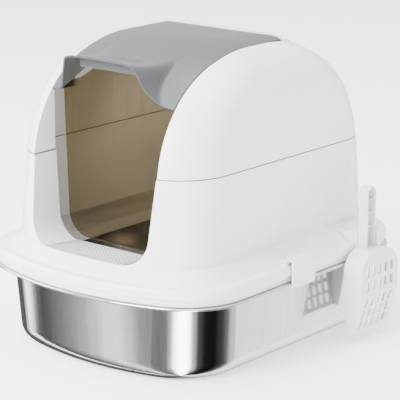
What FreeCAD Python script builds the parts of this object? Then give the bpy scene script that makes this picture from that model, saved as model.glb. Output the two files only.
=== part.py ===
import FreeCAD, Part

import math
import os

from FreeCAD import Placement, Rotation, Vector

# A hooded cat litter box: a steel pan, a two-part hood with a deep doorway, a flip lid that carries
# a see-through swing flap, two side clips, and a scoop that hangs on a holder at the rear right.
# Millimetres, +Z up, the doorway faces -Y. The origin is the centre of the pan's flat bottom.

SIZES = {
    # steel pan
    "pan_half_width": 175.0,
    "pan_half_length": 230.0,
    "pan_bow": 400.0,
    "pan_corner": 93.0,
    "pan_wall_lean": 7.5,
    "pan_base_fillet": 24.0,
    "rim_height": 111.4,
    "rim_reach": 28.8,
    "rim_bead": 1.7,
    "steel": 1.0,
    # skirt of the lower hood
    "lip_reach": 25.5,
    "lip_base": 112.6,
    "band_reach": 28.5,
    "band_base": 122.0,
    "ledge_height": 134.5,
    "ledge_reach": 17.0,
    "wall_base": 151.0,
    # hood
    "hood_half_width": 162.0,
    "hood_front": 216.0,
    "hood_back": 196.0,
    "hood_bow": 408.0,
    "hood_front_corner": 76.0,
    "hood_back_corner": 60.0,
    "hood_top": 420.0,
    "joint_height": 267.0,
    "parting_height": 1.5,
    "parting_depth": 1.2,
    "plastic": 2.5,
    # doorway
    "door_half_width": 107.5,
    "door_taper": 0.06,
    "door_sill": 145.0,
    "door_sill_slope": 0.085,
    "door_corner": 35.0,
    "sleeve_end": 161.0,
    "tread_thickness": 1.6,
    # lid and its hinge
    "lid_half_width": 106.7,
    "lid_opening": 108.5,
    "hinge_back": 49.0,
    "hinge_height": 409.8,
    "hinge_overhang": 5.0,
    "hinge_room": 8.0,
    "knuckle_radius": 3.3,
    "lug_radius": 3.0,
    "hinge_rod_radius": 1.9,
    "hinge_rod_length": 160.0,
    "hinge_cover_height": 3.0,
    "hinge_cover_depth": 26.0,
    "apron_back": 173.0,
    "apron_half_width": 48.5,
    "apron_low": 389.0,
    "lid_wing_height": 348.0,
    # swing flap
    "flap_plane": 150.0,
    "flap_pivot_height": 358.0,
    "flap_thickness": 2.4,
    "flap_bottom": 148.8,
    "flap_top": 383.5,
    "flap_half_top": 100.0,
    "flap_half_bottom": 94.0,
    "flap_corner": 35.0,
    "flap_pin_radius": 3.0,
    "flap_pin_length": 8.0,
    # side clips
    "clip_length": 48.0,
    "clip_centre": -22.0,
    "clip_axis_x": 196.5,
    "clip_axis_z": 139.2,
    "clip_barrel": 4.0,
    "clip_wall": 2.4,
    "clip_inner_x": 206.1,
    "clip_base": 105.2,
    "notch_floor_x": 199.2,
    "clip_pin_radius": 1.5,
    "clip_pin_length": 60.0,
    # scoop and its holder
    "holder_front": 100.0,
    "holder_width": 50.0,
    "holder_top": 150.0,
    "holder_reach": 207.0,
    "scoop_centre_y": 111.0,
    "scoop_inner_x": 208.0,
    "scoop_width": 86.0,
    "scoop_depth": 30.0,
    "scoop_base": 13.0,
    "scoop_shoulder": 129.0,
    "scoop_wall": 2.4,
    "scoop_slot": 6.4,
    "handle_width": 20.0,
    "handle_depth": 14.0,
    "handle_top": 215.0,
}

RUNNING_GAP = 0.05
FIT_GAP = 0.3

doc = FreeCAD.newDocument("litter_box")
sheet = doc.addObject("Spreadsheet::Sheet", "sizes")
for row, (alias, value) in enumerate(SIZES.items(), start=1):
    sheet.set(f"A{row}", alias)
    sheet.set(f"B{row}", str(value))
    sheet.setAlias(f"B{row}", alias)
doc.recompute()


def size(alias):
    """A driving dimension, read back from the sheet."""
    return float(sheet.get(alias))


# ---------------------------------------------------------------- plan outlines


def plan_ring(half_width, front, back, bow, front_corner, back_corner, z):
    """A closed plan outline: bowed front, straight sides and back, four round corners.

    With no back_corner, the back is the front's mirror image."""
    bow = max(bow, 1.12 * half_width)
    mirrored = back_corner is None
    room = min(0.9 * half_width, 0.33 * (front + back))
    front_corner = min(front_corner, room)
    back_corner = front_corner if mirrored else min(back_corner, room)
    bow_y = bow - front
    corner_x = half_width - front_corner
    corner_y = bow_y - math.sqrt((bow - front_corner) ** 2 - corner_x**2)
    turn = math.atan2(corner_x, bow_y - corner_y)
    mid = (turn + math.pi / 2) / 2
    tangent = (bow * math.sin(turn), bow_y - bow * math.cos(turn))
    corner_mid = (corner_x + front_corner * math.sin(mid), corner_y - front_corner * math.cos(mid))
    back_x = half_width - back_corner
    back_y = back - back_corner
    diagonal = back_corner * math.sqrt(0.5)

    def at(x, y):
        return Vector(x, y, z)

    edges = [Part.Arc(at(-tangent[0], tangent[1]), at(0, -front), at(*tangent)).toShape()]
    if mirrored:
        back_y = -corner_y
        rear_mid = (corner_mid[0], -corner_mid[1])
        rear_end = (tangent[0], -tangent[1])
        edges.append(Part.Arc(at(-tangent[0], -tangent[1]), at(0, front), at(tangent[0], -tangent[1])).toShape())
    else:
        rear_mid = (back_x + diagonal, back_y + diagonal)
        rear_end = (back_x, back)
        edges.append(Part.LineSegment(at(back_x, back), at(-back_x, back)).toShape())
    for side in (1, -1):
        corner = Part.Arc(at(side * tangent[0], tangent[1]), at(side * corner_mid[0], corner_mid[1]),
                          at(side * half_width, corner_y))
        wall = Part.LineSegment(at(side * half_width, corner_y), at(side * half_width, back_y))
        rear = Part.Arc(at(side * half_width, back_y), at(side * rear_mid[0], rear_mid[1]),
                        at(side * rear_end[0], rear_end[1]))
        edges += [corner.toShape(), wall.toShape(), rear.toShape()]
    return Part.Wire(Part.__sortEdges__(edges))


def pan_ring(reach, z, inset=0.0):
    """The pan's plan outline, moved out by reach; inset keeps a wall's thickness round the corners."""
    return plan_ring(
        size("pan_half_width") + reach - inset,
        size("pan_half_length") + reach - inset,
        size("pan_half_length") + reach - inset,
        size("pan_bow") - inset,
        size("pan_corner") - inset,
        None,
        z,
    )


def closure(z, start, power, top):
    """How far the hood has closed in at height z: 1 up to start, then a superellipse to 0 at top."""
    share = min(max((z - start) / (top - start), 0.0), 1.0)
    return (1.0 - share**power) ** (1.0 / power)


def hood_plan(z):
    """The hood's half width, front, back, bow and front corner at height z, as its plan outline uses them."""
    top = size("hood_top")
    rise = z - size("joint_height")
    lean_width = size("hood_half_width") - 0.03 * rise
    half_width = lean_width * closure(z, 330.0, 3.27, top)
    front = (size("hood_front") - 0.11 * rise) * closure(z, 258.0, 2.33, top)
    back = (size("hood_back") - 0.07 * rise) * closure(z, 250.0, 2.2, top)
    shrink = half_width / size("hood_half_width")
    bow = max(size("hood_bow") * shrink**2, 1.12 * half_width)
    room = min(0.9 * half_width, 0.33 * (front + back))
    return half_width, front, back, bow, min(size("hood_front_corner") * math.sqrt(shrink), room)


def hood_ring(z, inset=0.0, lift=0.0):
    """The hood's plan outline at height z. Its walls lean in, then close over the top."""
    top = size("hood_top") - inset
    rise = z - size("joint_height")
    half_width = size("hood_half_width") - 0.03 * rise - inset
    front = size("hood_front") - 0.11 * rise - inset
    back = size("hood_back") - 0.07 * rise - inset
    side = closure(z, 330.0, 3.27, top)
    nose = closure(z, 258.0, 2.33, top)
    tail = closure(z, 250.0, 2.2, top)
    shrink = half_width * side / size("hood_half_width")
    return plan_ring(
        half_width * side,
        front * nose,
        back * tail,
        (size("hood_bow") - inset) * shrink**2,
        (size("hood_front_corner") - inset) * math.sqrt(shrink),
        (size("hood_back_corner") - inset) * math.sqrt(shrink),
        z + lift,
    )


# ---------------------------------------------------------------- solids from outlines


def prism(wire, height):
    """A solid from a plan outline, standing height tall."""
    return Part.Face(wire).extrude(Vector(0, 0, height))


def cone(low, high):
    """A solid with straight walls between two plan outlines."""
    return Part.makeLoft([low, high], True, True)


DOME_HEIGHTS = (200, 240, 267, 290, 312, 332, 350, 366, 380, 391, 400, 407, 412.5)


def dome(low, high, inset=0.0, lift=0.0):
    """The hood's solid outer or inner form, from height low up to high."""
    top = min(high, size("hood_top") - inset - 2.2)
    between = [z for z in DOME_HEIGHTS if low + 6 < z < top - 2]
    heights = [low, *between, top]
    rings = [hood_ring(z, inset, lift) for z in heights]
    return Part.makeLoft(rings, True, False)


def box(x0, x1, y0, y1, z0, z1):
    """A box between two corners."""
    return Part.makeBox(x1 - x0, y1 - y0, z1 - z0, Vector(x0, y0, z0))


def rod(x0, x1, y, z, radius):
    """A cylinder along X."""
    return Part.makeCylinder(radius, x1 - x0, Vector(x0, y, z), Vector(1, 0, 0))


def fuse(first, *others):
    """The union of several solids, cleaned of the seams between them."""
    return first.multiFuse(list(others)).removeSplitter()


def feature(name, shape):
    """Adds a sub-part whose shape was made above."""
    part = doc.addObject("Part::Feature", name)
    part.Label = name
    part.Shape = shape
    part.Placement = Placement()
    return part


# ---------------------------------------------------------------- steel pan


def steel_pan():
    """A deep-drawn tray with a flat rolled rim."""
    rim = size("rim_height")
    steel = size("steel")
    lean = size("pan_wall_lean")
    fillet = size("pan_base_fillet")

    def tub(inset, base, radius, top):
        """The tray's solid form, inset by a wall's thickness, with its bottom edge rounded."""
        form = cone(pan_ring(0, base, inset), pan_ring(lean * top / rim, top, inset))
        low = [e for e in form.Edges if e.BoundBox.ZMax < base + 0.01]
        return form.makeFillet(radius, low)

    outer = tub(0, 0, fillet, rim - steel / 2)
    inner = tub(steel, steel, fillet - steel, rim + 2)
    bead = size("rim_bead")
    reach = size("rim_reach")
    flange = prism(pan_ring(reach + bead, rim - 2 * bead), 2 * bead)
    edges = [e for e in flange.Edges if e.BoundBox.ZLength < 0.01]
    flange = flange.makeFillet(0.95 * bead, edges)
    flange = flange.cut(prism(pan_ring(reach - bead, rim - 3 * bead), 3 * bead - steel))
    return fuse(outer, flange).cut(inner)


# ---------------------------------------------------------------- doorway


def door_outline(y, grow=0.0, raise_sill=0.0, top=480.0):
    """The doorway seen from the front, at depth y: it tapers to a sill with round corners."""
    taper = size("door_taper")
    joint = size("joint_height")
    sill = size("door_sill") + size("door_sill_slope") * (-size("sleeve_end") - y) - grow + raise_sill
    wide = size("door_half_width") + grow
    narrow = wide - taper * (joint - sill)
    radius = size("door_corner") + grow
    edges = []
    for s in (1, -1):
        foot = Vector(s * (narrow - radius), y, sill)
        heel = Vector(s * (narrow + taper * radius), y, sill + radius)
        bend = Vector(s * (narrow - radius * (1 - math.sqrt(0.5)) + 0.3), y,
                      sill + radius * (1 - math.sqrt(0.5)))
        edges += [
            Part.Arc(foot, bend, heel).toShape(),
            Part.LineSegment(heel, Vector(s * wide, y, joint)).toShape(),
            Part.LineSegment(Vector(s * wide, y, joint), Vector(s * wide, y, top)).toShape(),
        ]
    edges.append(Part.LineSegment(Vector(-narrow + radius, y, sill), Vector(narrow - radius, y, sill)).toShape())
    edges.append(Part.LineSegment(Vector(-wide, y, top), Vector(wide, y, top)).toShape())
    return Part.Wire(Part.__sortEdges__(edges))


def doorway(near, far, grow=0.0, raise_sill=0.0, top=480.0):
    """The space through the doorway between two depths."""
    return Part.makeLoft([door_outline(y, grow, raise_sill, top) for y in (near, far)], True, True)


# ---------------------------------------------------------------- hood

FRONT_OUT = -300.0


def lower_hood():
    """The skirt that sits on the pan's rim, the lower walls and the lower half of the door sleeve."""
    wall = size("plastic")
    joint = size("joint_height")
    ledge = size("ledge_height")
    band = prism(pan_ring(size("band_reach"), size("band_base")), ledge - size("band_base"))
    edge = [e for e in band.Edges if e.BoundBox.ZMin > ledge - 0.01]
    band = band.makeFillet(5.0, edge)
    lip = prism(pan_ring(size("lip_reach"), size("lip_base")), ledge - size("lip_base") - 1)
    slope = cone(pan_ring(size("ledge_reach"), ledge - 0.5), hood_ring(size("wall_base"), 1.5, 1.5))
    walls = dome(ledge - 0.5, joint)
    outer = fuse(walls, slope, band, lip)

    hollow = prism(pan_ring(size("lip_reach") - wall, size("lip_base") - 1), ledge - wall - size("lip_base") + 1)
    slope_in = cone(pan_ring(size("ledge_reach") - wall, ledge - wall - 0.5),
                    hood_ring(size("wall_base") - wall, wall + 1.5, 1.5))
    walls_in = dome(ledge - wall - 0.5, joint, wall)
    top_cut = prism(pan_ring(40, joint), 60)
    depth = size("parting_depth")
    groove = cone(hood_ring(joint - size("parting_height"), -1.0), hood_ring(joint + 1, -1.0))
    groove = groove.cut(cone(hood_ring(joint - 4, depth), hood_ring(joint + 4, depth)))
    shell = outer.cut(fuse(hollow, slope_in, walls_in)).cut(top_cut)

    # the seat that rests on the rim, with a wall that keeps litter inside the pan
    seat_z = size("rim_height") + 0.2
    seat = prism(pan_ring(size("lip_reach") - wall + 0.2, seat_z), 2.0)
    guard = prism(pan_ring(5.3, seat_z - 14), 16.0)
    seat = fuse(seat, guard).cut(prism(pan_ring(3.3, seat_z - 20), 40))

    sleeve = doorway(FRONT_OUT, -size("sleeve_end"), grow=wall).common(outer)
    sleeve = sleeve.cut(prism(pan_ring(60, joint), 300))
    body = fuse(shell, seat, sleeve).cut(doorway(FRONT_OUT, -size("sleeve_end") + 30)).cut(groove)

    # blind notches in the lip beside each clip, and the ears that hold its pin
    half = size("clip_length") / 2
    for side in (1, -1):
        centre = size("clip_centre")
        x = side * size("clip_axis_x")
        z = size("clip_axis_z")
        x0, x1 = sorted((side * size("notch_floor_x"), side * 206))
        for y0, y1, low in ((-66, -42, 112), (53, 72, 115.5)):
            body = body.cut(box(x0, x1, y0, y1, low, 121.8))
        for end in (-1, 1):
            y0 = centre + end * (half + 3.2) - 2.5
            ear = Part.makeCylinder(4.4, 5, Vector(x, y0, z), Vector(0, 1, 0))
            foot = box(x - 4.4, x + 4.4, y0, y0 + 5, ledge - 1.5, z)
            hole = Part.makeCylinder(size("clip_pin_radius"), 7, Vector(x, y0 - 1, z), Vector(0, 1, 0))
            body = body.fuse(ear.fuse(foot)).cut(hole)
    return body.removeSplitter()


def upper_hood():
    """The domed top with two cheeks beside the lid, the hinge cover and inner ribs."""
    wall = size("plastic")
    joint = size("joint_height")
    outer = dome(joint, size("hood_top"))
    inner = dome(joint - 1, size("hood_top"), wall)
    shell = outer.cut(inner)
    opening = size("lid_opening")
    hinge_y = size("hinge_back")
    gap = size("hinge_room")

    sleeve = doorway(FRONT_OUT, -size("sleeve_end"), grow=wall, top=400).common(outer)
    sleeve = sleeve.cut(prism(pan_ring(60, 0), joint))
    rim = outer.cut(dome(joint - 1, size("hood_top"), 5.2))
    rails = []
    for side in (1, -1):
        edge = box(min(side * opening, side * (opening + wall)), max(side * opening, side * (opening + wall)),
                   -260, hinge_y + gap + wall, joint, 440)
        rails.append(rim.common(edge))
    ledge = dome(joint - 1, size("hood_top"), 3.0).cut(dome(joint - 1, size("hood_top"), 5.2))
    for side in (1, -1):
        x0, x1 = sorted((side * 99.0, side * (opening + 0.5)))
        rails.append(ledge.common(box(x0, x1, -110, 20, 370, 440)))

    lifted = dome(joint, size("hood_top"), 0.0, size("hinge_cover_height"))
    cover = lifted.common(box(-opening, opening, hinge_y + gap, hinge_y + size("hinge_cover_depth"), 380, 440))
    cover = cover.cut(inner)
    front_lip = outer.cut(dome(joint - 1, size("hood_top"), 14.0))
    front_lip = front_lip.common(box(-opening - 1, opening + 1, hinge_y + gap, hinge_y + gap + wall, 380, 440))

    mouth = box(-opening, opening, FRONT_OUT, hinge_y + gap, size("lid_wing_height") - 2, 460)
    body = shell.cut(mouth)
    body = body.cut(doorway(FRONT_OUT, -size("sleeve_end") + 30, top=400))
    body = body.fuse(sleeve.cut(doorway(FRONT_OUT, 0, top=400)).cut(mouth))
    body = body.multiFuse(rails + [cover, front_lip])
    body = body.cut(box(-opening, opening, FRONT_OUT, -size("sleeve_end") + 30, joint - 1, 352))

    # lugs that carry the hinge rod
    axis_z = size("hinge_height")
    lug_radius = size("lug_radius")
    for x0, x1 in ((-60, -52), (-6, 6), (52, 60)):
        lug = rod(x0, x1, hinge_y, axis_z, lug_radius)
        neck = box(x0, x1, hinge_y - lug_radius, hinge_y + lug_radius, axis_z - 9, axis_z)
        web = box(x0, x1, hinge_y - lug_radius, hinge_y + gap + 1.5, axis_z - 9, axis_z - 5)
        body = body.fuse(fuse(lug, neck, web))
    hole = rod(-62, 62, hinge_y, axis_z, size("hinge_rod_radius"))
    body = body.cut(hole)

    # stiffening ribs inside the back and side walls, standing on the joint
    ribs = []
    band = inner.cut(dome(joint - 1, size("hood_top"), 5.0)).common(box(-200, 200, -300, 260, joint, 372))
    for x in (-110, -45, 45, 110):
        ribs.append(band.common(box(x - 1, x + 1, 90, 230, joint, 372)))
    for y in (-90, -60, 40, 70):
        ribs.append(band.common(box(-180, -100, y - 1, y + 1, joint, 372)))
        ribs.append(band.common(box(100, 180, y - 1, y + 1, joint, 372)))
    return body.multiFuse([r for r in ribs if r.Volume > 1])


# ---------------------------------------------------------------- lid


# The pull lip's outline seen from the front: (x, z) from its crown down to the wing beside the cheek.
LIP_OUTLINE = [(0, 409.5), (30, 409), (50, 407), (61, 400.5), (67, 388), (73, 374), (82, 361), (94, 351.5),
               (115, 345)]
# The pull lip seen from the side: (y, z) along its top, from the hood's crown to its turned-up rim.
LIP_TOP = [(-230, 426), (-194, 410), (-180, 404.5), (-160, 401), (-135, 400), (-105, 402), (-60, 404)]
# The line its front rim follows as it falls back to the wings: (y, z).
LIP_RIM = [(-194, 412), (-191.5, 402), (-188, 392), (-184, 377), (-176, 362), (-163, 346)]


def along(points, x):
    """The height at x on a smooth line through points, whose x values rise."""
    last = len(points) - 1
    i = max(k for k in range(last) if k == 0 or points[k][0] <= x)
    (x0, z0), (x1, z1) = points[i], points[i + 1]
    span = x1 - x0

    def slope(k):
        before = points[max(k - 1, 0)]
        after = points[min(k + 1, last)]
        return (after[1] - before[1]) / (after[0] - before[0])

    t = min(max((x - x0) / span, 0.0), 1.0)
    return (
        z0 * (1 + 2 * t) * (1 - t) ** 2
        + span * slope(i) * t * (1 - t) ** 2
        + z1 * t**2 * (3 - 2 * t)
        - span * slope(i + 1) * t**2 * (1 - t)
    )


def blend(a, b, radius):
    """The larger of two heights, with a smooth fillet where they meet; a negative radius takes the smaller."""
    share = max(abs(radius) - abs(a - b), 0.0) / abs(radius)
    if radius > 0:
        return max(a, b) + share**2 * radius / 4
    return min(a, b) + share**2 * radius / 4


def inside_hood(x, y, z):
    """Whether a point of the hood's front or middle is within its plan outline at height z."""
    half_width, front, back, bow, corner = hood_plan(z)
    if abs(x) > half_width or y > back:
        return False
    bow_y = bow - front
    corner_x = half_width - corner
    corner_y = bow_y - math.sqrt((bow - corner) ** 2 - corner_x**2)
    turn = math.atan2(corner_x, bow_y - corner_y)
    across_x = abs(x) - corner_x
    ahead_y = corner_y - y
    if ahead_y > 0 and across_x > 0 and math.atan2(across_x, ahead_y) > turn:
        return math.hypot(across_x, ahead_y) < corner
    return y > bow_y or math.hypot(x, y - bow_y) < bow


def hood_height(x, y):
    """The hood's height over a point of its plan, found by halving."""
    low = size("joint_height") - 30
    high = size("hood_top") - 2.2
    if inside_hood(x, y, high):
        return high
    for _ in range(22):
        middle = (low + high) / 2
        if inside_hood(x, y, middle):
            low = middle
        else:
            high = middle
    return low


def lid_height(x, y):
    """The lid's outer height: the hood's own form, blended into the pull lip."""
    lip = blend(along(LIP_OUTLINE, abs(x)), along(LIP_TOP, y), -9.0)
    return blend(hood_height(x, y), lip, 9.0)


def lid_solid(depth):
    """The solid under the lid's outer surface, or under the surface that lies depth inside it."""
    columns = [-116 + 4.0 * i for i in range(59)]
    rows = [-214 + 4.0 * i for i in range(71)]
    step = 0.5
    grid = []
    for x in columns:
        line = []
        for y in rows:
            z = lid_height(x, y)
            rise_x = (lid_height(x + step, y) - lid_height(x - step, y)) / (2 * step)
            rise_y = (lid_height(x, y + step) - lid_height(x, y - step)) / (2 * step)
            normal = Vector(-rise_x, -rise_y, 1).normalize()
            line.append(Vector(x, y, z) - normal * depth)
        grid.append(line)
    surface = Part.BSplineSurface()
    surface.interpolate(grid)
    return surface.toShape().extrude(Vector(0, 0, -160))


def ahead_of_rim():
    """The space in front of the pull lip's rim."""
    rim = [Vector(-150, y, z) for y, z in LIP_RIM]
    corners = [Vector(-150, LIP_RIM[-1][0], 240), Vector(-150, FRONT_OUT, 240), Vector(-150, FRONT_OUT, 440),
               Vector(-150, LIP_RIM[0][0], 440), rim[0]]
    spline = Part.BSplineCurve()
    spline.interpolate(rim)
    edges = [spline.toShape()]
    for start, end in zip([rim[-1], *corners], corners):
        edges.append(Part.LineSegment(start, end).toShape())
    return Part.Face(Part.Wire(Part.__sortEdges__(edges))).extrude(Vector(300, 0, 0))


def lid():
    """A shell that closes the hood's top, with a pull lip, wings at both sides and rear knuckles."""
    wall = size("plastic")
    half = size("lid_half_width")
    hinge_y = size("hinge_back")
    low = size("lid_wing_height")
    rear = hinge_y + size("hinge_overhang")
    within = lid_solid(wall / 2)
    body = lid_solid(0).common(box(-half, half, -205, rear, low, 440))
    body = body.cut(lid_solid(wall)).cut(ahead_of_rim())

    pieces = []
    # the apron under the lip
    apron_y = -size("apron_back")
    apron_half = size("apron_half_width")
    pieces.append(box(-apron_half, apron_half, apron_y, apron_y + wall, size("apron_low"), 401))

    # side flanges with bosses for the flap's pins
    pivot_y = -size("flap_plane")
    pivot_z = size("flap_pivot_height")
    for s in (1, -1):
        x0, x1 = sorted((s * half, s * (half - wall)))
        pieces.append(within.common(box(x0, x1, pivot_y - 13, pivot_y + 25, low, 440)))
        b0, b1 = sorted((s * (half - 0.2), s * (size("flap_half_top") + 1.0)))
        pieces.append(rod(b0, b1, pivot_y, pivot_z, 6.0))

    # rear knuckles
    axis_z = size("hinge_height")
    radius = size("knuckle_radius")
    for x0, x1 in ((-80, -62), (-50, -8), (8, 50), (62, 80)):
        knuckle = rod(x0, x1, hinge_y, axis_z, radius)
        stem = box(x0, x1, hinge_y - radius, hinge_y + radius, axis_z, axis_z + 8).common(within)
        pieces.append(knuckle.fuse(stem))
    body = body.multiFuse(pieces)
    body = body.cut(rod(-90, 90, hinge_y, axis_z, size("hinge_rod_radius") + RUNNING_GAP))
    pin = size("flap_pin_radius") + RUNNING_GAP
    reach_x = size("flap_half_top") + size("flap_pin_length") - 2 + 0.4
    return body.cut(rod(-reach_x, reach_x, pivot_y, pivot_z, pin)).removeSplitter()


def entry_tread():
    """The studded strip that lies in the door sleeve's floor."""
    thick = size("tread_thickness")
    floor = doorway(-260, -size("sleeve_end") - 0.4, grow=-0.1)
    above = doorway(-270, -100, grow=0, raise_sill=thick)
    form = dome(size("ledge_height"), size("joint_height"), 1.2)
    strip = floor.cut(above).common(form)
    reach = size("door_half_width") - size("door_corner") - 3
    return strip.common(box(-reach, reach, -260, -150, 130, 200))


# ---------------------------------------------------------------- scoop and its holder


def scoop_holder():
    """A bracket over the skirt's edge, with a peg for the scoop and a guide beside its handle."""
    y0 = size("holder_front")
    y1 = y0 + size("holder_width")
    top = size("holder_top")
    reach = size("holder_reach")
    ledge = size("ledge_height")
    outline = [(171, top), (reach, top), (reach, top - 26), (203.5, top - 26), (203.5, ledge), (192, ledge),
               (171, 149)]
    wire = Part.makePolygon([Vector(x, y0, z) for x, z in outline + outline[:1]])
    block = Part.Face(wire).extrude(Vector(0, y1 - y0, 0))
    upright = [e for e in block.Edges if abs(e.BoundBox.XMin - reach) < 0.01 and e.BoundBox.ZLength > 20]
    block = block.makeFillet(2.5, upright)
    ear_y = size("scoop_centre_y") + size("handle_width") / 2 + 2
    guide = [(reach - 1, top), (211, 156), (219, 157), (224, 152), (228, 138), (227, 131), (reach - 1, 131)]
    wire = Part.makePolygon([Vector(x, ear_y, z) for x, z in guide + guide[:1]])
    ear = Part.Face(wire).extrude(Vector(0, 6, 0))
    peg_z = top - 13
    peg = rod(reach - 1, reach + 8, size("scoop_centre_y"), peg_z, 4.0)
    return fuse(block, ear, peg)


def scoop():
    """A slotted tray with its open side to the box, and a channelled handle that stands up from it."""
    wall = size("scoop_wall")
    centre = size("scoop_centre_y")
    half = size("scoop_width") / 2
    x0 = size("scoop_inner_x")
    x1 = x0 + size("scoop_depth")
    base = size("scoop_base")
    top = size("scoop_shoulder")

    def tray(inset):
        """The tray's solid form: its side profile, limited by its front outline."""
        profile = [(x0 - inset * 2, top + 5), (x0 - inset * 2, 110), (x0 + 5 - inset * 3, base - inset),
                   (x0 + 14 - inset, base - inset), (x1 - inset, 66), (x1 - inset, top + 5)]
        wire = Part.makePolygon([Vector(x, centre - 60, z) for x, z in profile + profile[:1]])
        side = Part.Face(wire).extrude(Vector(0, 120, 0))
        width = half - inset
        crown = top - inset
        low = base - 5
        edges = [
            Part.LineSegment(Vector(0, -width, low), Vector(0, -width, crown - 30)).toShape(),
            Part.Arc(Vector(0, -width, crown - 30), Vector(0, -width + 9, crown - 9), Vector(0, -14, crown)).toShape(),
            Part.LineSegment(Vector(0, -14, crown), Vector(0, 14, crown)).toShape(),
            Part.Arc(Vector(0, 14, crown), Vector(0, width - 9, crown - 9), Vector(0, width, crown - 30)).toShape(),
            Part.LineSegment(Vector(0, width, crown - 30), Vector(0, width, low)).toShape(),
            Part.LineSegment(Vector(0, width, low), Vector(0, -width, low)).toShape(),
        ]
        front = Part.Face(Part.Wire(Part.__sortEdges__(edges))).extrude(Vector(60, 0, 0))
        front.translate(Vector(x0 - 20, centre, 0))
        return side.common(front)

    blade = tray(0).cut(tray(wall))
    slots = []
    slot = size("scoop_slot") / 2
    for z in (102, 82, 58, 41, 25):
        for column in range(-2, 3):
            y = centre + column * 14.0
            slots.append(box(x0 + 8, x1 + 2, y - slot, y + slot, z - 6.5, z + 6.5))
    blade = blade.cut(Part.makeCompound(slots))

    grip_half = size("handle_width") / 2
    grip_x = x0 + size("handle_depth")
    grip_top = size("handle_top")

    def bar(inset, low, depth0, depth1):
        """An upright bar with a round top."""
        width = grip_half - inset
        upright = box(depth0, depth1, centre - width, centre + width, low, grip_top - inset - width)
        return upright.fuse(rod(depth0, depth1, centre, grip_top - inset - width, width))

    handle = bar(0, top - 4, x0, grip_x)
    handle = handle.cut(bar(wall, top + 1, x0 + wall, grip_x + 1))
    ribs = [box(x0 + 1, grip_x - 3, centre - grip_half + 1, centre + grip_half - 1, z - 0.8, z + 0.8)
            for z in (158, 177, 196)]
    body = fuse(blade, handle, *ribs)
    peg_z = size("holder_top") - 13
    return body.cut(rod(x0 - 1, x0 + wall + 1, centre, peg_z, 4.0 + FIT_GAP))


# ---------------------------------------------------------------- flap, clips, pins and rod


def origin_plane(body, role):
    """One of a body's own origin planes."""
    return next(item for item in body.Origin.OriginFeatures if item.Role == role)


def front_sketch(body, name):
    """A sketch on a body's own XZ plane: its X is the body's X and its Y is the body's Z."""
    sketch = body.newObject("Sketcher::SketchObject", name)
    sketch.AttachmentSupport = [(origin_plane(body, "XZ_Plane"), "")]
    sketch.MapMode = "FlatFace"
    return sketch


def pad_both_ways(body, sketch, alias):
    """A pad of a sketch, half of its length each way."""
    pad = body.newObject("PartDesign::Pad", sketch.Name + "_pad")
    pad.Profile = sketch
    pad.SideType = "Symmetric"
    pad.setExpression("Length", f"<<sizes>>.{alias}")
    return pad


def cylinder(name, radius_alias, length_alias, place):
    """A plain round pin whose sizes follow the sheet."""
    pin = doc.addObject("Part::Cylinder", name)
    pin.Label = name
    pin.setExpression("Radius", f"<<sizes>>.{radius_alias}")
    pin.setExpression("Height", f"<<sizes>>.{length_alias}")
    pin.Placement = place
    return pin


def flap():
    """The see-through swing door, with a stub pin at each side of its top."""
    panel = doc.addObject("PartDesign::Body", "flap_panel")
    sketch = front_sketch(panel, "flap_outline")
    low = size("flap_bottom")
    pivot = size("flap_pivot_height")
    radius = size("flap_corner")
    narrow = size("flap_half_bottom")
    wide = size("flap_half_top")
    bend = radius * (1 - math.sqrt(0.5))

    def at(x, z):
        return Vector(x, z, 0)

    # the top steps down from its crown behind the apron to the shoulders beside the pins
    top = [(wide, pivot - 10), (wide, pivot + 1), (97, pivot + 3.5), (84, pivot + 4.5), (68, pivot + 11),
           (45, size("flap_top"))]
    for s in (1, -1):
        for (xa, za), (xb, zb) in zip(top, top[1:]):
            sketch.addGeometry(Part.LineSegment(at(s * xa, za), at(s * xb, zb)), False)
        sketch.addGeometry(Part.LineSegment(at(s * wide, pivot - 10), at(s * narrow, low + radius)), False)
        sketch.addGeometry(Part.Arc(at(s * narrow, low + radius), at(s * (narrow - bend), low + bend),
                                    at(s * (narrow - radius), low)), False)
    sketch.addGeometry(Part.LineSegment(at(narrow - radius, low), at(radius - narrow, low)), False)
    sketch.addGeometry(Part.LineSegment(at(45, size("flap_top")), at(-45, size("flap_top"))), False)
    pad_both_ways(panel, sketch, "flap_thickness")
    panel.Placement = Placement(Vector(0, -size("flap_plane"), 0), Rotation())
    pins = []
    for s, name in ((1, "flap_pin_right"), (-1, "flap_pin_left")):
        turn = Rotation(Vector(0, 1, 0), s * 90)
        spot = Vector(s * (wide - 2), -size("flap_plane"), pivot)
        pins.append(cylinder(name, "flap_pin_radius", "flap_pin_length", Placement(spot, turn)))
    whole = doc.addObject("Part::MultiFuse", "flap")
    whole.Label = "flap"
    whole.Shapes = [panel, *pins]
    return whole


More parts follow.
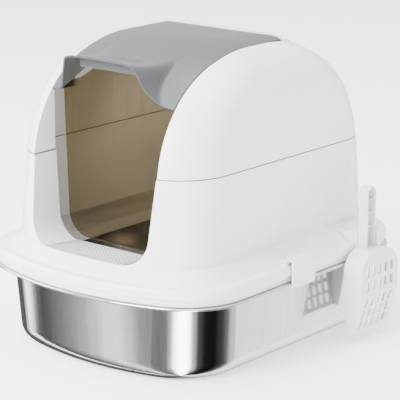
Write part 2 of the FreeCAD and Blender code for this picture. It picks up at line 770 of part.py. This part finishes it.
def clip(name, side):
    """A latch over the skirt's edge: a barrel on its pin, a strap, and a hook under the pan's rim."""
    body = doc.addObject("PartDesign::Body", name)
    body.Label = name
    x = size("clip_axis_x")
    z = size("clip_axis_z")
    barrel = size("clip_barrel")
    wall = size("clip_wall")
    inner = size("clip_inner_x")
    outer = inner + wall
    base = size("clip_base")
    top = z + barrel
    corner = 5.0
    bend = corner * (1 - math.sqrt(0.5))
    root = math.sqrt(barrel**2 - (barrel - wall) ** 2)
    sketch = front_sketch(body, name + "_profile")

    def at(px, pz):
        return Vector(px, pz, 0)

    sketch.addGeometry(Part.Arc(at(x + root, top - wall), at(x - barrel, z), at(x, top)), False)
    sketch.addGeometry(Part.LineSegment(at(x, top), at(outer - corner, top)), False)
    sketch.addGeometry(Part.Arc(at(outer - corner, top), at(outer - bend, top - bend), at(outer, top - corner)), False)
    strap = [(outer, top - corner), (outer, base), (inner - 2.9, base), (inner - 2.9, base + wall),
             (inner, base + wall), (inner, top - wall), (x + root, top - wall)]
    for (xa, za), (xb, zb) in zip(strap, strap[1:]):
        sketch.addGeometry(Part.LineSegment(at(xa, za), at(xb, zb)), False)
    sketch.addGeometry(Part.Circle(at(x, z), Vector(0, 0, 1), size("clip_pin_radius") + RUNNING_GAP), False)
    pad_both_ways(body, sketch, "clip_length")
    turn = Rotation(Vector(0, 0, 1), 0 if side > 0 else 180)
    body.Placement = Placement(Vector(0, size("clip_centre"), 0), turn)
    return body


def clip_pin(name, side):
    """The pin that a clip turns on."""
    spot = Vector(side * size("clip_axis_x"), size("clip_centre") - size("clip_pin_length") / 2, size("clip_axis_z"))
    return cylinder(name, "clip_pin_radius", "clip_pin_length", Placement(spot, Rotation(Vector(1, 0, 0), -90)))


# ---------------------------------------------------------------- the whole assembly

made = [
    feature("steel_pan", steel_pan()),
    feature("lower_hood", lower_hood()),
    feature("upper_hood", upper_hood()),
    feature("lid", lid()),
    feature("entry_tread", entry_tread()),
    feature("scoop_holder", scoop_holder()),
    feature("scoop", scoop()),
    flap(),
    clip("right_clip", 1),
    clip("left_clip", -1),
    clip_pin("right_clip_pin", 1),
    clip_pin("left_clip_pin", -1),
    cylinder("lid_hinge_rod", "hinge_rod_radius", "hinge_rod_length",
             Placement(Vector(-size("hinge_rod_length") / 2, size("hinge_back"), size("hinge_height")),
                       Rotation(Vector(0, 1, 0), 90))),
]
doc.recompute()

for item in doc.Objects:
    if "Invalid" in item.State or "Error" in item.State:
        raise RuntimeError(f"{item.Name} failed: {item.State}")
for part in made:
    if part.Shape.isNull() or not part.Shape.isValid():
        raise RuntimeError(f"{part.Label} has no valid shape")
    if len(part.Shape.Solids) != 1:
        raise RuntimeError(f"{part.Label} isn't one solid")
os.makedirs("parts", exist_ok=True)
for part in made:
    part.Shape.exportStep(f"parts/{part.Label}.step")
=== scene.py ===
import math

import bmesh
import bpy
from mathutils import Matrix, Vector
from mathutils.bvhtree import BVHTree


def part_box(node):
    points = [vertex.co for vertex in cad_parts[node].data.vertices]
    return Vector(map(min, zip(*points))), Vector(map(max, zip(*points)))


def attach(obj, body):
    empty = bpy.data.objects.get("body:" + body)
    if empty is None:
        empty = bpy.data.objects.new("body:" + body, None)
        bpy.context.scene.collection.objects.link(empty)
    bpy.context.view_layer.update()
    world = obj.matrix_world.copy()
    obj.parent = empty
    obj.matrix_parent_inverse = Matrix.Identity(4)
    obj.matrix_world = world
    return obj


# The looks of a hooded litter box: materials for the CAD nodes, small moulded details, a pale studio
# and the camera. Metres, in the row frame.

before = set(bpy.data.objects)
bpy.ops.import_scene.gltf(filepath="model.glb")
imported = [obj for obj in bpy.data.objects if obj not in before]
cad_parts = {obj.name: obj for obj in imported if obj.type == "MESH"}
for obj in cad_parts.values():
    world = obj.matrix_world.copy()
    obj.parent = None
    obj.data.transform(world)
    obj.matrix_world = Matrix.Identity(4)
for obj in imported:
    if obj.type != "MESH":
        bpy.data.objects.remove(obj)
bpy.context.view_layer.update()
MM = 0.001

# ---------------------------------------------------------------- node helpers

# The middle of a noise texture's range, where most of its values lie.
NOISE_LOW = 0.3
NOISE_HIGH = 0.7


def new_material(name):
    """An empty node material with its Principled shader and its object-space coordinates."""
    material = bpy.data.materials.new(name)
    material.use_nodes = True
    nodes = material.node_tree.nodes
    shader = nodes["Principled BSDF"]
    coords = nodes.new("ShaderNodeTexCoord")
    return material, shader, coords.outputs["Object"]


def add_noise(material, vector, scale, detail, stretch=(1.0, 1.0, 1.0)):
    """A noise texture, stretched along the object's axes."""
    nodes = material.node_tree.nodes
    links = material.node_tree.links
    mapping = nodes.new("ShaderNodeMapping")
    mapping.inputs["Scale"].default_value = stretch
    links.new(vector, mapping.inputs["Vector"])
    noise = nodes.new("ShaderNodeTexNoise")
    noise.inputs["Scale"].default_value = scale
    noise.inputs["Detail"].default_value = detail
    links.new(mapping.outputs["Vector"], noise.inputs["Vector"])
    return noise.outputs["Fac"]


def vary(material, fac, low, high, socket):
    """Drives a number socket between two values by a texture."""
    ramp = material.node_tree.nodes.new("ShaderNodeMapRange")
    ramp.inputs["From Min"].default_value = NOISE_LOW
    ramp.inputs["From Max"].default_value = NOISE_HIGH
    ramp.inputs["To Min"].default_value = low
    ramp.inputs["To Max"].default_value = high
    material.node_tree.links.new(fac, ramp.inputs["Value"])
    material.node_tree.links.new(ramp.outputs["Result"], socket)


def tint(material, fac, dark, light, socket):
    """Drives a colour socket between two colours by a texture."""
    ramp = material.node_tree.nodes.new("ShaderNodeValToRGB")
    ramp.color_ramp.elements[0].position = NOISE_LOW
    ramp.color_ramp.elements[0].color = (*dark, 1.0)
    ramp.color_ramp.elements[1].position = NOISE_HIGH
    ramp.color_ramp.elements[1].color = (*light, 1.0)
    material.node_tree.links.new(fac, ramp.inputs["Fac"])
    material.node_tree.links.new(ramp.outputs["Color"], socket)


def bump(material, shader, fac, strength, distance):
    """Adds a fine bump to a shader."""
    node = material.node_tree.nodes.new("ShaderNodeBump")
    node.inputs["Strength"].default_value = strength
    node.inputs["Distance"].default_value = distance
    material.node_tree.links.new(fac, node.inputs["Height"])
    material.node_tree.links.new(node.outputs["Normal"], shader.inputs["Normal"])


# ---------------------------------------------------------------- materials

PLASTIC_IOR = 1.49
COAT_ROUGHNESS = 0.18


def moulded(name, dark, light, rough, grain=900.0, strength=0.12, coat=0.25):
    """Moulded plastic: a fine spark-eroded grain, slow sheen changes and a thin gloss."""
    material, shader, coords = new_material(name)
    slow = add_noise(material, coords, scale=9.0, detail=2.0)
    fine = add_noise(material, coords, scale=grain, detail=2.0)
    tint(material, slow, dark, light, shader.inputs["Base Color"])
    vary(material, slow, *rough, shader.inputs["Roughness"])
    bump(material, shader, fine, strength, 0.1 * MM)
    shader.inputs["Coat Weight"].default_value = coat
    shader.inputs["Coat Roughness"].default_value = COAT_ROUGHNESS
    shader.inputs["IOR"].default_value = PLASTIC_IOR
    return material


def paint_parting_shade(material, low, high, shade):
    """Paints shade into a material's colour between two heights, as in a groove that lets little light in.
    """
    nodes = material.node_tree.nodes
    links = material.node_tree.links
    colour = nodes["Principled BSDF"].inputs["Base Color"]
    plain = colour.links[0].from_socket
    coords = next(node for node in nodes if node.bl_idname == "ShaderNodeTexCoord")
    split = nodes.new("ShaderNodeSeparateXYZ")
    links.new(coords.outputs["Object"], split.inputs["Vector"])
    inside = nodes.new("ShaderNodeMath")
    inside.operation = "COMPARE"
    inside.inputs[1].default_value = (low + high) / 2
    inside.inputs[2].default_value = (high - low) / 2
    links.new(split.outputs["Z"], inside.inputs[0])
    # Painted shade: the base colour is mixed to a flat grey inside the height band.
    mix = nodes.new("ShaderNodeMixRGB")
    mix.inputs["Color2"].default_value = (shade, shade, shade, 1.0)
    links.new(inside.outputs["Value"], mix.inputs["Fac"])
    links.new(plain, mix.inputs["Color1"])
    links.new(mix.outputs["Color"], colour)


def polished_steel(name):
    """Bright drawn steel: faint vertical draw lines and a slow waviness of the sheet."""
    material, shader, coords = new_material(name)
    lines = add_noise(material, coords, scale=160.0, detail=4.0, stretch=(1.0, 1.0, 0.03))
    wave = add_noise(material, coords, scale=7.0, detail=2.0)
    tint(material, lines, (0.60, 0.60, 0.595), (0.70, 0.70, 0.695), shader.inputs["Base Color"])
    vary(material, lines, 0.06, 0.12, shader.inputs["Roughness"])
    bump(material, shader, wave, 0.06, 2 * MM)
    shader.inputs["Metallic"].default_value = 1.0
    return material


def plain_steel(name):
    """Ground steel of a pin or rod."""
    material, shader, coords = new_material(name)
    lines = add_noise(material, coords, scale=1200.0, detail=3.0, stretch=(0.05, 1.0, 1.0))
    tint(material, lines, (0.50, 0.50, 0.50), (0.62, 0.62, 0.62), shader.inputs["Base Color"])
    vary(material, lines, 0.22, 0.35, shader.inputs["Roughness"])
    bump(material, shader, lines, 0.1, 0.1 * MM)
    shader.inputs["Metallic"].default_value = 1.0
    return material


def smoked(name):
    """Clear brown-tinted plastic: mostly see-through, with gloss and faint moulding ripples."""
    material, shader, coords = new_material(name)
    slow = add_noise(material, coords, scale=6.0, detail=2.0)
    tint(material, slow, (0.265, 0.197, 0.098), (0.30, 0.225, 0.113), shader.inputs["Base Color"])
    vary(material, slow, 0.03, 0.06, shader.inputs["Roughness"])
    bump(material, shader, slow, 0.04, 1 * MM)
    shader.inputs["Alpha"].default_value = 0.8
    shader.inputs["Transmission Weight"].default_value = 1.0
    shader.inputs["IOR"].default_value = 1.1
    return material


HOOD_DARK = (0.80, 0.80, 0.80)
HOOD_LIGHT = (0.83, 0.83, 0.828)
HOOD_ROUGH = (0.26, 0.34)

# The parting groove between the hood's halves, at the top edge of the lower one, and the grey of the shade
# painted into the lower hood's colour between these heights.
PARTING_LOW = 265.4 * MM
PARTING_HIGH = 267.1 * MM
PARTING_PAINTED_SHADE = 0.12

WHITE = moulded("hood_white", HOOD_DARK, HOOD_LIGHT, HOOD_ROUGH)
LOWER = moulded("lower_hood_white", HOOD_DARK, HOOD_LIGHT, HOOD_ROUGH)
# Painted shade: a dark band in the lower hood's colour along the parting groove, on the inner faces as well
# as the outer ones.
paint_parting_shade(LOWER, PARTING_LOW, PARTING_HIGH, PARTING_PAINTED_SHADE)
GREY = moulded("lid_grey", (0.056, 0.059, 0.062), (0.064, 0.067, 0.070), (0.38, 0.47),
               strength=0.15, coat=0.05)
SCOOP = moulded("scoop_white", (0.72, 0.73, 0.735), (0.76, 0.765, 0.77), (0.34, 0.42),
                strength=0.2, coat=0.1)
CLIP = moulded("clip_white", (0.77, 0.77, 0.77), (0.80, 0.80, 0.80), (0.30, 0.38))
TREAD = moulded("tread_grey", (0.33, 0.33, 0.325), (0.37, 0.37, 0.365), (0.45, 0.58),
                grain=1400.0, strength=0.3, coat=0.0)
STUD = moulded("stud_white", HOOD_DARK, HOOD_LIGHT, (0.40, 0.50), strength=0.1, coat=0.0)
STEEL = polished_steel("pan_steel")
PIN = plain_steel("pin_steel")
SMOKE = smoked("flap_smoke")

FINISH = {
    "steel_pan": STEEL,
    "lower_hood": LOWER,
    "upper_hood": WHITE,
    "entry_tread": TREAD,
    "lid": GREY,
    "lid_hinge_rod": PIN,
    "flap": SMOKE,
    "right_clip": CLIP,
    "left_clip": CLIP,
    "right_clip_pin": PIN,
    "left_clip_pin": PIN,
    "scoop_holder": CLIP,
    "scoop": SCOOP,
}

for node, material in FINISH.items():
    for material_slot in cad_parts[node].material_slots:
        material_slot.material = material

# ---------------------------------------------------------------- small moulded details


def add_piece(name, mesh, material, body):
    """Puts a finished bmesh in the scene as a piece that rides on a body."""
    data = bpy.data.meshes.new(name)
    mesh.to_mesh(data)
    mesh.free()
    data.materials.append(material)
    data.shade_smooth()
    piece = bpy.data.objects.new(name, data)
    bpy.context.scene.collection.objects.link(piece)
    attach(piece, body)


# The round studs of the entry tread. Its top falls towards the front, and its front edge is bowed.
STUD_RINGS = 4
STUD_SIDES = 14
STUD_RADIUS = 1.15 * MM
STUD_HEIGHT = 0.7 * MM
STUD_STEP = 5.2 * MM
ROW_STEP = STUD_STEP * 0.87
STUD_SINK = 0.1 * MM
TREAD_SLOPE = 0.085
TREAD_MARGIN = 4 * MM
TREAD_END = 6 * MM
TREAD_NARROWING = 10 * MM
TREAD_BOW = 0.82


def dome_stud(mesh, centre):
    """One low round stud on the sloping tread."""
    levels = []
    for ring in range(STUD_RINGS):
        angle = ring / STUD_RINGS * math.pi / 2
        radius = STUD_RADIUS * math.cos(angle)
        height = STUD_HEIGHT * math.sin(angle)
        loop = []
        for side in range(STUD_SIDES):
            turn = side / STUD_SIDES * math.tau
            x = radius * math.cos(turn)
            y = radius * math.sin(turn)
            loop.append(mesh.verts.new(centre + Vector((x, y, height - y * TREAD_SLOPE))))
        levels.append(loop)
    for low, high in zip(levels, levels[1:]):
        for side in range(STUD_SIDES):
            after = (side + 1) % STUD_SIDES
            mesh.faces.new((low[side], low[after], high[after], high[side]))
    peak = mesh.verts.new(centre + Vector((0, 0, STUD_HEIGHT)))
    for side in range(STUD_SIDES):
        mesh.faces.new((levels[-1][side], levels[-1][(side + 1) % STUD_SIDES], peak))
    mesh.faces.new(list(reversed(levels[0])))


def tread_studs():
    """Rows of round studs over the entry tread, each row offset by half a step."""
    low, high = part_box("entry_tread")
    half = high[0] - TREAD_MARGIN
    mesh = bmesh.new()
    rows = int((high[1] - low[1] - TREAD_END) / ROW_STEP)
    for row in range(rows):
        y = high[1] - TREAD_MARGIN - row * ROW_STEP
        z = high[2] - TREAD_SLOPE * (y - low[1]) - STUD_SINK
        narrowing = TREAD_NARROWING * (1 - row / rows)
        count = int(2 * (half - narrowing) / STUD_STEP)
        shift = 0.25 if row % 2 else -0.25
        for column in range(count):
            x = (column - (count - 1) / 2 + shift) * STUD_STEP
            if y >= low[1] + TREAD_MARGIN + x * x / TREAD_BOW:
                dome_stud(mesh, Vector((x, y, z)))
    add_piece("tread_studs", mesh, STUD, "base")


# The fingertip ridges on the lid's pull lip: (y, half length) of each, front to rear.
RIDGES = ((-150 * MM, 34 * MM), (-143 * MM, 30 * MM), (-136 * MM, 26 * MM))
RIDGE_STEPS = 25
RIDGE_SIDES = 10
RIDGE_RADIUS = 0.9 * MM
RIDGE_FLATTENING = 0.7
RIDGE_LIFT = 0.1 * MM
RIDGE_ENDS = (0.35, 0.8)
ABOVE_ALL = 1.0


def ridge_mesh(points):
    """A thin closed bead along points that run along X, with round ends."""
    mesh = bmesh.new()
    loops = []
    last = len(points) - 1
    for i, point in enumerate(points):
        heading = (points[min(i + 1, last)] - points[max(i - 1, 0)]).normalized()
        side = heading.cross(Vector((0, 0, 1)))
        side.normalize()
        up = side.cross(heading).normalized()
        end = min(i, last - i)
        radius = RIDGE_RADIUS * (RIDGE_ENDS[end] if end < len(RIDGE_ENDS) else 1.0)
        loop = []
        for k in range(RIDGE_SIDES):
            turn = k / RIDGE_SIDES * math.tau
            across = side * (radius * math.cos(turn))
            above = up * (radius * RIDGE_FLATTENING * math.sin(turn))
            loop.append(mesh.verts.new(point + across + above))
        loops.append(loop)
    for low, high in zip(loops, loops[1:]):
        for k in range(RIDGE_SIDES):
            after = (k + 1) % RIDGE_SIDES
            mesh.faces.new((low[k], low[after], high[after], high[k]))
    mesh.faces.new(list(reversed(loops[0])))
    mesh.faces.new(loops[-1])
    bmesh.ops.recalc_face_normals(mesh, faces=mesh.faces)
    return mesh


def grip_ridges():
    """Three low ridges for the fingertips, across the top of the pull lip."""
    tree = BVHTree.FromObject(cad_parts["lid"], bpy.context.evaluated_depsgraph_get())
    for number, (y, half) in enumerate(RIDGES, start=1):
        points = []
        for i in range(RIDGE_STEPS):
            x = half * (2 * i / (RIDGE_STEPS - 1) - 1)
            top = tree.ray_cast(Vector((x, y, ABOVE_ALL)), Vector((0, 0, -1)))[0]
            points.append(Vector((x, y, top.z + RIDGE_LIFT)))
        add_piece(f"grip_ridge_{number}", ridge_mesh(points), GREY, "lid")


tread_studs()
grip_ridges()

# ---------------------------------------------------------------- studio

CENTRE = (0.0, 0.0, 0.2)

# Soft boxes: name, place, aim, width, height, power in watts.
LIGHTS = (
    ("key", (-0.3, -2.8, 2.0), CENTRE, 1.6, 1.6, 300),
    ("fill", (-2.4, -1.2, 1.2), CENTRE, 1.4, 1.8, 90),
    ("top", (-0.2, -0.2, 2.6), CENTRE, 2.0, 2.0, 90),
    ("cabin", (0.0, 0.0, 0.34), (0.0, 0.12, 0.25), 0.16, 0.16, 0.35),
)

# What the steel sees below the horizon: (azimuth in degrees, brightness). Azimuth 0 is -Y, 90 is +X.
STUDIO_BANDS = (
    (-90, 0.31), (-84, 0.65), (-81, 1.5), (-78, 2.0), (-76, 0.8), (-74, 0.13), (-71, 0.05), (-65, 0.065),
    (-58, 0.11), (-51, 0.19), (-44, 0.30), (-37, 0.50), (-31, 0.85), (-26, 0.85), (-21, 0.55), (-16, 0.23),
    (-8, 0.13), (4, 0.105), (14, 0.13), (23, 0.4), (31, 3.0), (38, 6.0), (50, 5.0), (60, 0.4),
    (70, 0.045), (82, 0.008), (98, 0.005), (111, 0.03), (123, 0.09), (135, 0.45), (150, 1.2), (235, 0.06),
)
BRIGHTEST = 6.0
SKY = 0.65
ROOM_LIGHT = 2.8

# The sine of the elevation between which the bands fade into the sky.
BANDS_END = -0.04
SKY_START = -0.02

FLOOR_SIZE = 40
FLOOR_GLOW = 1.2


def area_light(name, place, target, width, height, power):
    """A soft box aimed at a point."""
    data = bpy.data.lights.new(name, "AREA")
    data.shape = "RECTANGLE"
    data.size = width
    data.size_y = height
    data.energy = power
    lamp = bpy.data.objects.new(name, data)
    lamp.location = place
    lamp.rotation_euler = (Vector(target) - Vector(place)).to_track_quat("-Z", "Y").to_euler()
    bpy.context.scene.collection.objects.link(lamp)


def floor():
    """A pale, wide floor that glossy surfaces don't see."""
    material, shader, coords = new_material("floor_white")
    slow = add_noise(material, coords, scale=2.0, detail=2.0)
    tint(material, slow, (0.93, 0.93, 0.93), (0.94, 0.94, 0.94), shader.inputs["Base Color"])
    shader.inputs["Roughness"].default_value = 0.6
    shader.inputs["Emission Color"].default_value = (1.0, 1.0, 1.0, 1.0)
    shader.inputs["Emission Strength"].default_value = FLOOR_GLOW
    bpy.ops.mesh.primitive_plane_add(size=FLOOR_SIZE, location=(0, 0, 0))
    plane = bpy.context.object
    plane.name = "floor"
    plane.data.materials.append(material)
    plane.visible_glossy = False


def studio_world():
    """A white room whose lower half, hidden by the floor, holds soft dark and bright flags for the steel."""
    world = bpy.data.worlds.new("studio")
    world.use_nodes = True
    nodes = world.node_tree.nodes
    links = world.node_tree.links
    background = nodes["Background"]
    direction = nodes.new("ShaderNodeTexCoord").outputs["Generated"]

    radial = nodes.new("ShaderNodeTexGradient")
    radial.gradient_type = "RADIAL"
    links.new(direction, radial.inputs["Vector"])
    ramp = nodes.new("ShaderNodeValToRGB")
    ramp.color_ramp.interpolation = "EASE"
    stops = ramp.color_ramp.elements
    while len(stops) < len(STUDIO_BANDS):
        stops.new(0.5)
    for stop, (azimuth, value) in zip(stops, STUDIO_BANDS):
        level = value / BRIGHTEST
        stop.position = (azimuth + 90) / 360
        stop.color = (level, level, level, 1.0)
    links.new(radial.outputs["Fac"], ramp.inputs["Fac"])

    split = nodes.new("ShaderNodeSeparateXYZ")
    links.new(direction, split.inputs["Vector"])
    above = nodes.new("ShaderNodeMapRange")
    above.inputs["From Min"].default_value = BANDS_END
    above.inputs["From Max"].default_value = SKY_START
    links.new(split.outputs["Z"], above.inputs["Value"])

    mix = nodes.new("ShaderNodeMixRGB")
    sky = SKY / BRIGHTEST
    mix.inputs["Color2"].default_value = (sky, sky, sky, 1.0)
    links.new(above.outputs["Result"], mix.inputs["Fac"])
    links.new(ramp.outputs["Color"], mix.inputs["Color1"])
    links.new(mix.outputs["Color"], background.inputs["Color"])
    background.inputs["Strength"].default_value = ROOM_LIGHT * BRIGHTEST
    bpy.context.scene.world = world


studio_world()
for light in LIGHTS:
    area_light(*light)
floor()

# ---------------------------------------------------------------- camera

CAMERA_AZIMUTH = math.radians(39.9)
CAMERA_ELEVATION = math.radians(14.9)
CAMERA_DISTANCE = 2.6637
CAMERA_TARGET = Vector((0.0, 0.013, 0.1779))
CAMERA_LENS = 172.2
CAMERA_REACH = 50

away = Vector((
    math.sin(CAMERA_AZIMUTH) * math.cos(CAMERA_ELEVATION),
    -math.cos(CAMERA_AZIMUTH) * math.cos(CAMERA_ELEVATION),
    math.sin(CAMERA_ELEVATION),
))
lens = bpy.data.cameras.new("camera")
lens.lens = CAMERA_LENS
lens.clip_end = CAMERA_REACH
camera = bpy.data.objects.new("camera", lens)
camera.location = CAMERA_TARGET + away * CAMERA_DISTANCE
camera.rotation_euler = away.to_track_quat("Z", "Y").to_euler()
bpy.context.scene.collection.objects.link(camera)
bpy.context.scene.camera = camera
